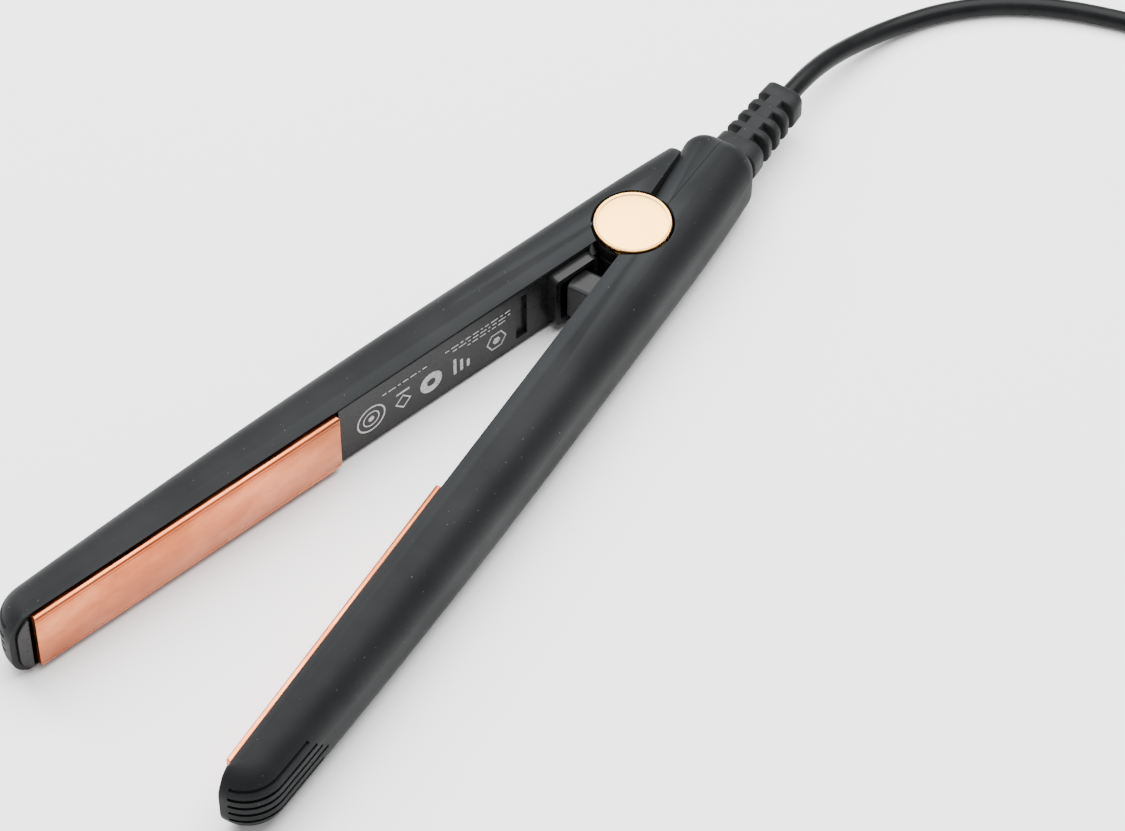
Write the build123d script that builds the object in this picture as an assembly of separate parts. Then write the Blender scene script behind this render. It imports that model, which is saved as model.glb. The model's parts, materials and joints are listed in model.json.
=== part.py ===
from build123d import *
import math
import os

# A small flat iron lying on its side, with its arms held open by their spring.
# Origin: on the pivot's axis, at the surface that the iron lies on. +Z is the pivot's axis.
# +X runs along the fixed arm to its tip, and the fixed arm is on the +Y side of the plane
# where the plates meet. All sizes are in millimetres, and angles in degrees.

# Both arms
OPEN_ANGLE = 18.6          # between the arms at rest
HEIGHT = 20.4              # over both pivot caps
MID = HEIGHT / 2
ARM_HALF = 9.8             # half of an arm's width, along Z
ARM_DEPTH = 14.9           # from the meeting plane to an arm's back
RIM = 1.8                  # the shell's open edge, from the meeting plane
SIDE_WALL = 1.05
BACK_WALL = 1.6
BACK_ROUND = 7.0           # rounding along the back's edges
NOSE_ROUND = 9.2           # the nose's corner, seen along Z
NOSE_FOOT_X = 171.6        # where the nose meets the rim
NOSE_END_X = 172.3
TAPER_FROM_X = 44.0        # the back is straight up to here, then curves in
TAPER_PARTS = 5            # that curve is a parabola, drawn as so many arcs
TIP_DEPTH = 11.4           # depth near the nose
TAIL_X = -34.3             # rear face of the housing
TAIL_DEPTH = 13.7
GROOVES = 6
GROOVE_PITCH = 2.42
GROOVE_WIDTH = 0.9
GROOVE_DEPTH = 0.6
GROOVE_FROM_X = 147.0      # where the longest groove starts
GROOVE_END_Y = 3.9         # where the grooves stop short of the rim, at the nose
GROOVE_STAGGER = 1.8       # each groove further from it starts this much later
LONGEST_GROOVE = 2         # counted from the lowest, which is 0
EDGE_WIDE = 3.5            # gentle rounding along a shell's open edge
EDGE_DEEP = 0.7

# Pivot
RECESS_R = 9.45            # round cut-out of both shells
CAP_R = 8.85
CAP_THICK = 2.0
CAP_BEVEL = 0.45
KNUCKLE_R = 8.9
KNUCKLE_EDGE = 0.35
KNUCKLE_HALF = MID - CAP_THICK      # outer knuckles end where the caps begin
CENTRE_KNUCKLE_HALF = 4.3
KNUCKLE_GAP = 0.6
PIN_R = 2.5
PIN_PLAY = 0.05
STEM_R = 1.3
WASHER_R = 3.5
SPRING_R = 5.2
SPRING_WIRE = 0.9
SPRING_TURNS = 5
SPRING_PITCH = 1.06
SPRING_LOW = MID - 1.7

# Housing behind the pivot, and the moving arm's slanted tail
HOUSING_WALL_SLOPE = 0.131           # its wall beside the moving arm, y against x
HOUSING_WALL_Y = 0.55                # where that wall's line crosses the pivot's plane
SEAM_START = (-8.0, 4.0)             # parting line between shell and rear cover
SEAM_END = (-36.0, 5.1)
SEAM_GAP = 0.12
TAIL_EDGE_Y = 0.55                   # the moving arm's tail edge at x = 0, when closed
TAIL_SLANT = 0.375                   # and how fast its depth grows towards the tail
ARM_TAIL_X = -22.3
TAIL_GAP = 0.15                      # between that tail and the housing
TAIL_WALL = 1.4
TAIL_PLAN_Y = -3.0                   # the uncut tail reaches past the meeting plane
RIM_FROM_X = -8.5                    # the moving arm's straight rim starts here
REAR_ROUND = 5.5
HOUSING_EDGE = 5.0                   # rounding along the wall beside the moving arm

# Inner frames
FRAME_HALF = 8.6
PANEL_Y = 1.7
PANEL_THICK = 1.7
FLOOR_Y = 7.6
FLOOR_THICK = 1.2
FRAME_SCREW_X = (88.0, 162.2)
POST_START_Y = FLOOR_Y + FLOOR_THICK + 0.05
CARRIER_X = 81.8                     # the frame's step down behind the plate
TIP_PANEL_X = 166.9                  # the panel in front of the plate starts here
FIXED_PANEL_X = 10.0
TONGUE_X = (13.6, 20.2)
TONGUE_REACH = 5.0
TONGUE_HALF = 5.4
SHROUD_X = (11.2, 23.6)
SHROUD_HALF = 7.6
SHROUD_WALL = 1.5
SHROUD_REACH = 1.0
SLOT_X = (29.7, 32.9)

# Heating plates
PLATE_X = (84.0, 165.8)
PLATE_HALF = 8.45
PLATE_FACE_Y = 0.1
BEAD_Y = 2.5
LEG_Z = (6.4, 7.4)
LEG_END_Y = 6.2
HEATER_X = (92.0, 158.0)

# Cord and its strain relief
CORD_D = 4.5
LIFT = 0.05                          # between the cord and the surface it lies on
CORD_Z = CORD_D / 2 + LIFT
TIE_THICK = 1.0
TIE_WIDTH = 9.0
GLAND_Y = 6.2
GLAND_YAW = -3.0
GLAND_LENGTH = 23.4
CLAMP_X = -26.0
CLAMP_SCREW_Y = 10.0
COIL_CENTRE = (-102.0, 119.0)
COIL_OUTER_TURN_R = 33.0
COIL_TURNS_ACROSS = 4
COIL_TURNS_HIGH = 2
ROUTE = [
    (-64.5, 7.78, MID),
    (-75.5, 8.9, 8.1),
    (-86.5, 11.3, 4.9),
    (-97.5, 15.7, 2.7),
    (-107.8, 23.0, CORD_Z),
    (-116.6, 33.4, CORD_Z),
    (-122.8, 46.0, CORD_Z),
    (-126.7, 60.0, CORD_Z),
    (-130.2, 78.0, CORD_Z),
    (-133.6, 98.0, CORD_Z),
    (-135.0, 119.0, CORD_Z),
]
PLUG_MOUTH = (-60.0, 154.5, 11.0)    # where the cord enters the plug's own strain relief
PLUG_BACK_X = PLUG_MOUTH[0] + 16.0
PLUG_LENGTH = 30.0
TAIL_ROUTE = [
    (-102.0, 152.0, CORD_Z + CORD_D),
    (-88.5, 152.4, 7.9),
    (-74.5, 154.5, 11.0),
]


# ---------------------------------------------------------------- shared helpers
def column(outline, low, high):
    """A solid with this plan, between two heights."""
    return extrude(Pos(0, 0, low) * outline, amount=high - low)


def block(x0, x1, y0, y1, z0, z1):
    return Pos((x0 + x1) / 2, (y0 + y1) / 2, (z0 + z1) / 2) * Box(x1 - x0, y1 - y0, z1 - z0)


def mid_block(x0, x1, y0, y1, half):
    """A block centred on the iron's middle height."""
    return block(x0, x1, y0, y1, MID - half, MID + half)


def disc(radius, low, high, x=0.0, y=0.0):
    return Pos(x, y, (low + high) / 2) * Cylinder(radius, high - low)


def rod(start, end, radius):
    """A round bar between two points."""
    run = Vector(*end) - Vector(*start)
    plane = Plane(origin=start, z_dir=run)
    return extrude(plane * Circle(radius), amount=run.length)


def moving(solid):
    """A piece of the moving arm: drawn beside the fixed arm, mirrored over, then swung open."""
    return Rot(0, 0, -OPEN_ANGLE) * mirror(solid, about=Plane.XZ)


def write(name, *solids):
    shape = solids[0] if len(solids) == 1 else Compound(children=[s for s in solids])
    shape.label = name
    export_step(shape, f"parts/{name}.step")


# ---------------------------------------------------------------- arm shells
def back_at_tail(x, deep):
    """Where the back is, behind the pivot, as it draws in towards the tail."""
    return deep - (ARM_DEPTH - TAIL_DEPTH) * (x / TAIL_X) ** 2


def arm_plan(tail_x, inset, rim):
    """Plan of an arm from its tail to its nose, with its back drawn in by inset."""
    deep = ARM_DEPTH - inset
    end_x = NOSE_END_X - inset
    run = end_x - TAPER_FROM_X
    drop = ARM_DEPTH - TIP_DEPTH
    corner = (end_x, deep - drop)
    edges = [
        Line((tail_x, rim), (NOSE_FOOT_X - inset, rim)),
        Line((NOSE_FOOT_X - inset, rim), corner),
        Line((TAPER_FROM_X, deep), (0, deep)),
    ]
    places = []
    for step in range(2 * TAPER_PARTS + 1):
        along = run * step / (2 * TAPER_PARTS)
        places.append((TAPER_FROM_X + along, deep - drop * (along / run) ** 2))
    for first in range(0, 2 * TAPER_PARTS, 2):
        edges.append(ThreePointArc(*places[first:first + 3]))
    tail_deep = back_at_tail(tail_x, deep)
    if tail_x < 0:
        half_way = (tail_x / 2, back_at_tail(tail_x / 2, deep))
        edges.append(ThreePointArc((0, deep), half_way, (tail_x, tail_deep)))
    edges.append(Line((tail_x, tail_deep), (tail_x, rim)))
    face = make_face(edges)
    nose = face.vertices().sort_by_distance(corner)[0]
    return fillet(nose, NOSE_ROUND - inset)


def back_edges(solid, half, rim):
    """The two long edges round an arm's back and nose."""
    chosen = []
    for edge in solid.edges():
        centre = edge.center()
        level = abs(abs(centre.Z - MID) - half) < 0.01
        flat = edge.bounding_box().size.Z < 0.01
        at_rim = abs(centre.Y - rim) < 0.01
        at_tail = edge.bounding_box().size.X < 0.01
        if level and flat and not at_rim and not at_tail:
            chosen.append(edge)
    return chosen


def arm_body(tail_x, inset=0.0, side=0.0, rim=RIM):
    """The solid form of an arm: a flat-sided bar with a rounded back and nose."""
    half = ARM_HALF - side
    bar = column(arm_plan(tail_x, inset, rim), MID - half, MID + half)
    return fillet(back_edges(bar, half, rim), BACK_ROUND - max(inset, side))


def grooves(inner):
    """Grip grooves along the tip's back, each at its own height."""
    first = MID - GROOVE_PITCH * (GROOVES - 1) / 2
    cutters = []
    for turn in range(GROOVES):
        height = first + turn * GROOVE_PITCH
        low = height - GROOVE_WIDTH / 2
        start = GROOVE_FROM_X + GROOVE_STAGGER * abs(turn - LONGEST_GROOVE)
        slab = block(start, NOSE_END_X + 5, GROOVE_END_Y, ARM_DEPTH + 5, low, low + GROOVE_WIDTH)
        cutters.append(slab - inner)
    return cutters


def edge_rounders():
    """Cutters that round a shell's open edge over, above and below."""
    radius = (EDGE_WIDE ** 2 + EDGE_DEEP ** 2) / (2 * EDGE_DEEP)
    half_wide = EDGE_WIDE / 2
    half_drop = radius - math.sqrt(radius ** 2 - half_wide ** 2)
    clear = 4.0
    cutters = []
    for side in (-1, 1):
        top = ARM_HALF * side
        start = (RIM + EDGE_WIDE, top)
        end = (RIM, top - side * EDGE_DEEP)
        edges = [
            ThreePointArc(start, (RIM + half_wide, top - side * half_drop), end),
            Polyline(end, (RIM - clear, end[1]), (RIM - clear, top + side), (start[0], top + side), start),
        ]
        section = Plane(origin=(5, 0, MID), x_dir=(0, 1, 0), z_dir=(1, 0, 0)) * make_face(edges)
        cutters.append(extrude(section, amount=NOSE_END_X))
    return cutters


def recess():
    return disc(RECESS_R, -5, HEIGHT + 5)


def screw_post(x, floor_y):
    """A hollow post that stands on a shell's back and takes a frame screw."""
    post_end = ARM_DEPTH - 1.2
    post = rod((x, floor_y, MID), (x, post_end, MID), 2.0)
    return post - rod((x, floor_y - 1, MID), (x, post_end - 1.2, MID), 0.8)


def with_posts(shell, solid):
    for x in FRAME_SCREW_X:
        shell += screw_post(x, POST_START_Y) & solid
    return shell


def housing_plan(inset):
    """Plan of the housing behind the pivot."""
    deep = ARM_DEPTH - inset
    rear = TAIL_X + inset
    tail_deep = back_at_tail(rear, deep)
    wall_front = HOUSING_WALL_Y + inset
    wall_rear = HOUSING_WALL_Y + HOUSING_WALL_SLOPE * rear + inset
    edges = [
        Line((0, wall_front), (0, deep)),
        ThreePointArc((0, deep), (rear / 2, back_at_tail(rear / 2, deep)), (rear, tail_deep)),
        Line((rear, tail_deep), (rear, wall_rear)),
        Line((rear, wall_rear), (0, wall_front)),
    ]
    return make_face(edges)


def long_edges(solid, half, low_y, high_y):
    """The edges along a housing's top and bottom whose middles lie between two depths."""
    return [
        e for e in solid.edges()
        if abs(abs(e.center().Z - MID) - half) < 0.01
        and e.bounding_box().size.X > 20
        and low_y < e.center().Y < high_y
    ]


def housing_body(inset=0.0, side=0.0):
    """The housing behind the pivot: rounded like the arm at its back, and less at its rear."""
    half = ARM_HALF - side
    body = column(housing_plan(inset), MID - half, MID + half)
    body = fillet(long_edges(body, half, 8, 20), BACK_ROUND - max(inset, side))
    body = fillet(long_edges(body, half, -8, 4), HOUSING_EDGE - max(inset, side))
    rear_face = body.faces().sort_by(Axis.X)[0]
    return fillet(rear_face.edges(), REAR_ROUND - inset)


def fixed_arm_body(inset=0.0, side=0.0, rim=RIM):
    """The fixed arm and the housing, as one outer form."""
    return arm_body(0.0, inset, side, rim) + housing_body(inset, side)


def cover_region():
    """Everything on the cover's side of the parting line."""
    outline = Polyline(SEAM_START, SEAM_END, (-40, -20), (8, -20), (8, -2), close=True)
    return column(make_face(outline), -5, HEIGHT + 5)


def gland_place():
    """Where the strain relief starts, with its own +X pointing away from the housing."""
    return Pos(TAIL_X, GLAND_Y, MID) * Rot(0, 0, 180 + GLAND_YAW)


def gland_hole():
    return gland_place() * Rot(0, 90, 0) * Cylinder(3.9, 12)


def clamp_post():
    post = disc(2.0, MID - ARM_HALF + 0.4, MID + 1.9, CLAMP_X, CLAMP_SCREW_Y)
    return post - disc(0.8, MID - 6, MID + 5, CLAMP_X, CLAMP_SCREW_Y)


def with_trim(shell):
    """A shell with its open edge rounded over and its grip grooves cut."""
    inner = arm_body(0.0, GROOVE_DEPTH, GROOVE_DEPTH, 0.0)
    for cutter in edge_rounders() + grooves(inner):
        shell -= cutter
    return shell


def fixed_shells():
    """The fixed arm's outer shell and its rear cover."""
    form = fixed_arm_body()
    hollow = arm_body(0.0, BACK_WALL, SIDE_WALL, -3.0) + housing_body(BACK_WALL, SIDE_WALL)
    skin = form - hollow - recess() - gland_hole()
    region = cover_region()
    cover = skin & region
    gap = Pos(0, SEAM_GAP, 0) * region
    shell = skin - gap
    shell = with_posts(shell, form)
    shell += clamp_post() & form
    return with_trim(shell), cover


def housing_beside_tail(gap):
    """The housing, grown by a gap, where it stands beside the moving arm before that is swung open."""
    return mirror(Rot(0, 0, OPEN_ANGLE) * housing_body(-gap, -gap), about=Plane.XZ)


def moving_shell():
    """The moving arm's shell, drawn on the +Y side, with a slanted tail that hugs the housing."""
    form = arm_body(ARM_TAIL_X, rim=TAIL_PLAN_Y)
    hollow = arm_body(ARM_TAIL_X + TAIL_WALL, BACK_WALL, SIDE_WALL, TAIL_PLAN_Y - 1)
    slant = make_face(Polyline(
        (0, -8), (0, TAIL_EDGE_Y), (-40, TAIL_EDGE_Y + 40 * TAIL_SLANT), (-40, -8), close=True
    ))
    wedge = column(slant, -5, HEIGHT + 5)
    hollow -= Pos(0, TAIL_WALL, 0) * wedge
    hollow -= housing_beside_tail(TAIL_GAP + TAIL_WALL)
    over = block(RIM_FROM_X, NOSE_END_X + 5, -9, RIM, -5, 30) + wedge + housing_beside_tail(TAIL_GAP)
    shell = form - hollow - over - recess()
    return with_trim(with_posts(shell, form))


# ---------------------------------------------------------------- inner frames
def frame_floor():
    """Carrier under a plate, with the wall behind the plate and the tip panel in front of it."""
    cavity = arm_body(0.0, BACK_WALL + 0.15, SIDE_WALL + 0.15, -2.0)
    floor = mid_block(CARRIER_X, NOSE_END_X, FLOOR_Y, FLOOR_Y + FLOOR_THICK, FRAME_HALF)
    floor += mid_block(CARRIER_X, CARRIER_X + 1.4, PANEL_Y, FLOOR_Y + 0.2, FRAME_HALF)
    floor += mid_block(TIP_PANEL_X, NOSE_END_X, PANEL_Y - 0.5, FLOOR_Y + 0.2, FRAME_HALF)
    for x in FRAME_SCREW_X:
        floor -= rod((x, 0, MID), (x, 20, MID), 1.15)
    return floor & cavity


def panel(from_x):
    return mid_block(from_x, CARRIER_X + 1.4, PANEL_Y, PANEL_Y + PANEL_THICK, FRAME_HALF)


def fixed_frame():
    """The fixed arm's inner frame: panel, tongue and the two outer knuckles."""
    frame = frame_floor() + panel(FIXED_PANEL_X)
    tongue = mid_block(*TONGUE_X, -TONGUE_REACH, PANEL_Y + 0.5, TONGUE_HALF)
    frame += fillet(tongue.edges().filter_by(Axis.Y), 1.0)
    frame += mid_block(10.0, 12.6, PANEL_Y, 9.5, KNUCKLE_HALF)
    for low, high in knuckle_levels():
        frame += knuckle(low, high)
        frame += block(0, 12.6, PANEL_Y + 0.2, KNUCKLE_R, low, high)
    frame -= disc(PIN_R, -5, HEIGHT + 5)
    frame -= disc(SPRING_WIRE / 2 + 0.15, MID, MID + KNUCKLE_HALF - 1.2, SPRING_R, 0)
    return frame


def knuckle(low, high):
    """One leaf of the hinge, with its edges broken."""
    ring = disc(KNUCKLE_R, low, high)
    return chamfer(ring.edges().filter_by(GeomType.CIRCLE), KNUCKLE_EDGE)


def knuckle_levels():
    inner = CENTRE_KNUCKLE_HALF + KNUCKLE_GAP
    return [(MID - KNUCKLE_HALF, MID - inner), (MID + inner, MID + KNUCKLE_HALF)]



def moving_frame():
    """The moving arm's inner frame, drawn on the +Y side: panel, shroud and centre knuckle."""
    frame = frame_floor() + panel(SHROUD_X[0])
    x0, x1 = SHROUD_X
    box = mid_block(x0, x1, -SHROUD_REACH, 8.4, SHROUD_HALF)
    box = fillet(box.edges().filter_by(Axis.Y), 1.6)
    well = mid_block(x0 + SHROUD_WALL, x1 - SHROUD_WALL, -9, 7.0, SHROUD_HALF - SHROUD_WALL)
    well = fillet(well.edges().filter_by(Axis.Y), 0.8)
    frame += box
    frame -= well
    frame -= mid_block(*SLOT_X, 0, PANEL_Y + 1.0, 6.8)
    half = CENTRE_KNUCKLE_HALF
    frame += knuckle(MID - half, MID + half)
    frame += mid_block(0, x0 + 1.0, RIM + 0.1, KNUCKLE_R, half)
    pocket = disc(SPRING_R + 1.3, SPRING_LOW - 0.7, MID + half + 1)
    pocket -= disc(SPRING_R - 1.4, SPRING_LOW - 2, MID + half + 2)
    frame -= pocket
    frame -= disc(PIN_R + PIN_PLAY, -5, HEIGHT + 5)
    return frame


def frame_screws():
    """Two screws that hold a frame to its shell's posts."""
    screws = []
    for x in FRAME_SCREW_X:
        head = rod((x, FLOOR_Y - 0.9, MID), (x, FLOOR_Y - 0.02, MID), 1.9)
        shank = rod((x, FLOOR_Y - 0.1, MID), (x, FLOOR_Y + 2.6, MID), 0.78)
        screws.append(head + shank)
    return screws


# ---------------------------------------------------------------- plates and heaters
def plate():
    """A coated aluminium plate: flat face, a rounded bead along each side, and two legs behind."""
    x0, x1 = PLATE_X
    body = mid_block(x0, x1, PLATE_FACE_Y, BEAD_Y, PLATE_HALF)
    bead_edges = [
        e for e in body.edges().filter_by(Axis.X)
        if e.center().Y > 1
    ]
    body = fillet(bead_edges, 0.8)
    for side in (-1, 1):
        low = MID + side * (PLATE_HALF - 0.2)
        groove = block(x0 - 1, x1 + 1, 0.75, 1.0, low - 0.2, low + 0.21)
        body -= groove
        near, far = LEG_Z
        centre = MID + side * (near + far) / 2
        width = (far - near) / 2
        body += block(x0 + 6, x1 - 6, BEAD_Y - 0.2, LEG_END_Y, centre - width, centre + width)
    return body


def heater():
    x0, x1 = HEATER_X
    return mid_block(x0, x1, BEAD_Y, BEAD_Y + 2.2, 5.5)


def insulator():
    x0, x1 = HEATER_X
    return mid_block(x0 - 1.5, x1 + 1.5, BEAD_Y + 2.2, BEAD_Y + 2.45, 6.0)


def heater_clip():
    """A spring-steel clip that presses the heater on to the plate's back."""
    x0, x1 = HEATER_X
    base = BEAD_Y + 2.45
    clip = mid_block(x0 + 3, x1 - 3, base, base + 0.5, 6.3)
    for x in (x0 + 14, (x0 + x1) / 2, x1 - 14):
        clip -= mid_block(x - 4, x + 4, base - 1, base + 1, 2.6)
    return clip


def cutout():
    """The thermal cut-out that lies in the clip's middle window, on the insulator."""
    x = sum(HEATER_X) / 2
    base = BEAD_Y + 2.45
    can = mid_block(x - 3.4, x + 3.4, base, base + 1.2, 1.9)
    return fillet(can.edges().filter_by(Axis.Y), 0.6)


def cushions():
    """Silicone pads that a plate floats on, between its legs and the frame's floor."""
    pads = []
    for x in (98.0, 152.0):
        for side in (-1, 1):
            z = MID + side * sum(LEG_Z) / 2
            pads.append(block(x - 4, x + 4, LEG_END_Y, FLOOR_Y, z - 0.9, z + 0.9))
    return pads


def leads(start_x):
    """Two heater wires along the shell's back, from the tail to the heater."""
    wires = []
    for side in (-1, 1):
        z = MID + side * 1.5
        path = FilletPolyline(
            (start_x, 10.9, z), (30, 10.9, z), (60, 10.4, z), (80.5, 5.4, z), radius=6
        )
        tube = sweep(Plane(path @ 0, z_dir=path % 0) * Circle(0.6), path=path)
        wires.append(tube)
    return wires


# ---------------------------------------------------------------- pivot
def pivot_pin():
    """A steel pin with a bore at each end for the caps' stems."""
    pin = disc(PIN_R, MID - KNUCKLE_HALF, MID + KNUCKLE_HALF)
    for end in (-1, 1):
        centre = MID + end * KNUCKLE_HALF
        pin -= disc(STEM_R, centre - 4, centre + 4)
    return pin


def pivot_cap(side):
    """A round trim cap with a bevelled edge and a stem that is pressed into the pin."""
    outer = MID + side * MID
    inner = MID + side * KNUCKLE_HALF
    cap = disc(CAP_R, min(outer, inner), max(outer, inner))
    outer_face = cap.faces().sort_by(Axis.Z)[-1 if side > 0 else 0]
    cap = chamfer(outer_face.edges(), CAP_BEVEL)
    tip = inner - side * 3.6
    return cap + disc(STEM_R, min(inner, tip), max(inner, tip))


def washers():
    """Thin washers on the pin, above and below the centre knuckle."""
    made = []
    for side in (-1, 1):
        centre = MID + side * (CENTRE_KNUCKLE_HALF + KNUCKLE_GAP / 2)
        ring = disc(WASHER_R, centre - 0.25, centre + 0.25)
        made.append(ring - disc(PIN_R + PIN_PLAY, centre - 1, centre + 1))
    return made


def arm_spring():
    """Torsion spring round the pin, in the centre knuckle's pocket, with a tang into the frame."""
    height = SPRING_TURNS * SPRING_PITCH
    coil = Helix(SPRING_PITCH, height, SPRING_R, center=(0, 0, SPRING_LOW))
    section = Plane(coil @ 0, z_dir=coil % 0) * Circle(SPRING_WIRE / 2)
    wire = sweep(section, path=coil, is_frenet=True)
    top = SPRING_LOW + height
    tang = disc(SPRING_WIRE / 2, top, MID + KNUCKLE_HALF - 1.5, SPRING_R, 0)
    return wire + tang


# ---------------------------------------------------------------- cord and plug
def rounded_bar(x0, x1, width, height, corner):
    """A bar along X with rounded long edges, centred on the X axis."""
    bar = Pos((x0 + x1) / 2, 0, 0) * Box(x1 - x0, width, height)
    return fillet(bar.edges().filter_by(Axis.X), corner)


def strain_relief():
    """Flat ribbed strain relief: five ribs joined by a core and by a spine above and below."""
    ribs = [(0.32, 4.9), (6.9, 8.9), (10.9, 13.0), (14.9, 17.0), (19.0, GLAND_LENGTH)]
    body = Pos(GLAND_LENGTH / 2, 0, 0) * Rot(0, 90, 0) * Cylinder(3.0, GLAND_LENGTH)
    body += rounded_bar(1.0, GLAND_LENGTH - 1.0, 3.6, 9.6, 0.5)
    for start, end in ribs:
        share = (start + end) / 2 / GLAND_LENGTH
        width = 12.2 - 3.2 * share
        height = 11.4 - 1.8 * share
        body += rounded_bar(start, end, width, height, 3.0)
    body += Pos(-1.5, 0, 0) * Rot(0, 90, 0) * Cylinder(3.6, 4.0)
    body += Pos(-3.3, 0, 0) * Rot(0, 90, 0) * Cylinder(4.3, 1.8)
    return gland_place() * body


def cord_inner():
    """The cord's jacket inside the housing, up to where its wires fan out."""
    stub = Pos(-8.2, 0, 0) * Rot(0, 90, 0) * Cylinder(CORD_D / 2, 8.0)
    return gland_place() * stub


def cord_clamp():
    """A bar that is screwed down over the cord's jacket."""
    low = MID + CORD_D / 2 + 0.02
    bar = block(CLAMP_X - 2, CLAMP_X + 2, 2.6, CLAMP_SCREW_Y + 1.9, low, low + 1.8)
    bar -= disc(1.0, MID, MID + 6, CLAMP_X, CLAMP_SCREW_Y)
    return bar


def clamp_screw():
    low = MID + CORD_D / 2 + 1.84
    head = disc(1.6, low, low + 1.1, CLAMP_X, CLAMP_SCREW_Y)
    return head + disc(0.78, MID - 3, MID + 4.5, CLAMP_X, CLAMP_SCREW_Y)


def crimps():
    """Crimp sleeves that join the cord's wires to the heater leads."""
    return [rod((-20.4, 7.4, MID + s * 1.5), (-15.4, 10.7, MID + s * 1.5), 1.0) for s in (-1, 1)]


def bend_radii(points):
    """The largest arc that each corner's runs allow."""
    radii = []
    for before, here, after in zip(points, points[1:], points[2:]):
        run_in = Vector(*here) - Vector(*before)
        run_out = Vector(*after) - Vector(*here)
        turn = math.radians(run_in.get_angle(run_out))
        radii.append(0.45 * min(run_in.length, run_out.length) / math.tan(turn / 2))
    return radii


def cord_tube(name, points):
    """A tube of straight runs and tangent arcs along the points."""
    radii = bend_radii(points)
    path = FilletPolyline(*points, radius=radii)
    tube = sweep(Plane(path @ 0, z_dir=path % 0) * Circle(CORD_D / 2), path=path)
    expected = math.pi * (CORD_D / 2) ** 2 * path.length
    print(f"{name}: length {path.length:.1f}, volume {tube.volume:.1f} of {expected:.1f}")
    print("  radii", [round(r, 1) for r in radii])
    return tube


def coil_section():
    """Width and height of the coil's bundle of turns."""
    return COIL_TURNS_ACROSS * CORD_D, COIL_TURNS_HIGH * CORD_D


def coil_middle_radius():
    return COIL_OUTER_TURN_R - (COIL_TURNS_ACROSS - 1) * CORD_D / 2


def coil_ring():
    """Outer shape of the coiled spare cord."""
    width, height = coil_section()
    section = Pos(coil_middle_radius(), height / 2 + LIFT) * RectangleRounded(width, height, 2.2)
    ring = revolve(Plane.XZ * section, axis=Axis.Z)
    return Pos(*COIL_CENTRE, 0) * ring


def cord_tie():
    """A band wrapped round the coil's turns on one side."""
    width, height = coil_section()
    x = COIL_CENTRE[0] + coil_middle_radius()
    y = COIL_CENTRE[1]
    top = height + LIFT + TIE_THICK
    band = Pos(x, y, top / 2) * Box(width + 2 * TIE_THICK, TIE_WIDTH, top)
    band = fillet(band.edges().filter_by(Axis.Y), 0.9)
    return band - coil_ring()


def plug_body():
    """Two-pin plug: tapered strain relief, then a body that widens to its face."""
    x, y, z = PLUG_MOUTH
    relief = Plane(origin=(x, y, z), z_dir=(1, 0, 0))
    cone = loft([relief * Circle(3.6), relief.offset(16.5) * Circle(5.0)])
    levels = [(0.0, 8.0, 6.5), (12.0, 11.5, 9.6), (22.0, 13.4, 10.8), (PLUG_LENGTH, 14.0, 11.0)]
    start = Plane(origin=(PLUG_BACK_X, y, z), x_dir=(0, 1, 0), z_dir=(1, 0, 0))
    sections = [
        start.offset(out) * RectangleRounded(2 * wide, 2 * high, 0.55 * high)
        for out, wide, high in levels
    ]
    return cone + loft(sections)


def plug_pins():
    """Two flat pins, each leaning 30 degrees from upright."""
    x, y, z = PLUG_MOUTH
    face_x = PLUG_BACK_X + PLUG_LENGTH
    pins = []
    for side in (-1, 1):
        pin = fillet(Box(17.0, 1.6, 6.3).edges().filter_by(Axis.Y), 0.7)
        place = Pos(face_x + 8.5, y + side * 6.9, z) * Rot(side * 30, 0, 0)
        pins.append(place * pin)
    return pins


def main():
    os.makedirs("parts", exist_ok=True)

    shell, cover = fixed_shells()
    write("shell_fixed", shell)
    write("rear_cover", cover)
    write("frame_fixed", fixed_frame())
    write("screws_fixed", *frame_screws())
    write("cushions_fixed", *cushions())
    write("leads_fixed", *leads(-14.4))
    write("plate_fixed", plate())
    write("heater_fixed", heater())
    write("insulator_fixed", insulator())
    write("clip_fixed", heater_clip())
    write("thermal_cutout", cutout())

    write("shell_moving", moving(moving_shell()))
    write("frame_moving", moving(moving_frame()))
    write("screws_moving", *[moving(s) for s in frame_screws()])
    write("cushions_moving", *[moving(s) for s in cushions()])
    write("leads_moving", *[moving(s) for s in leads(-6.0)])
    write("plate_moving", moving(plate()))
    write("heater_moving", moving(heater()))
    write("insulator_moving", moving(insulator()))
    write("clip_moving", moving(heater_clip()))

    write("pivot_pin", pivot_pin())
    write("cap_upper", pivot_cap(1))
    write("cap_lower", pivot_cap(-1))
    write("thrust_washers", *washers())
    write("arm_spring", arm_spring())

    write("strain_relief", strain_relief())
    write("cord_inner", cord_inner())
    write("cord_clamp", cord_clamp())
    write("clamp_screw", clamp_screw())
    write("wire_crimps", *crimps())

    ring = coil_ring()
    cord_start = (gland_place() * Pos(GLAND_LENGTH, 0, 0)).position
    write("cord_tube", cord_tube("cord_tube", [tuple(cord_start), *ROUTE]) - ring)
    write("cord_tail", cord_tube("cord_tail", [*TAIL_ROUTE, PLUG_MOUTH]) - ring)
    write("cord_coil", ring)
    write("cord_tie", cord_tie())
    write("plug_body", plug_body())
    write("plug_pins", *plug_pins())


main()
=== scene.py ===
import json
import math

import bmesh
import bpy
from mathutils import Matrix, Vector


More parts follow.
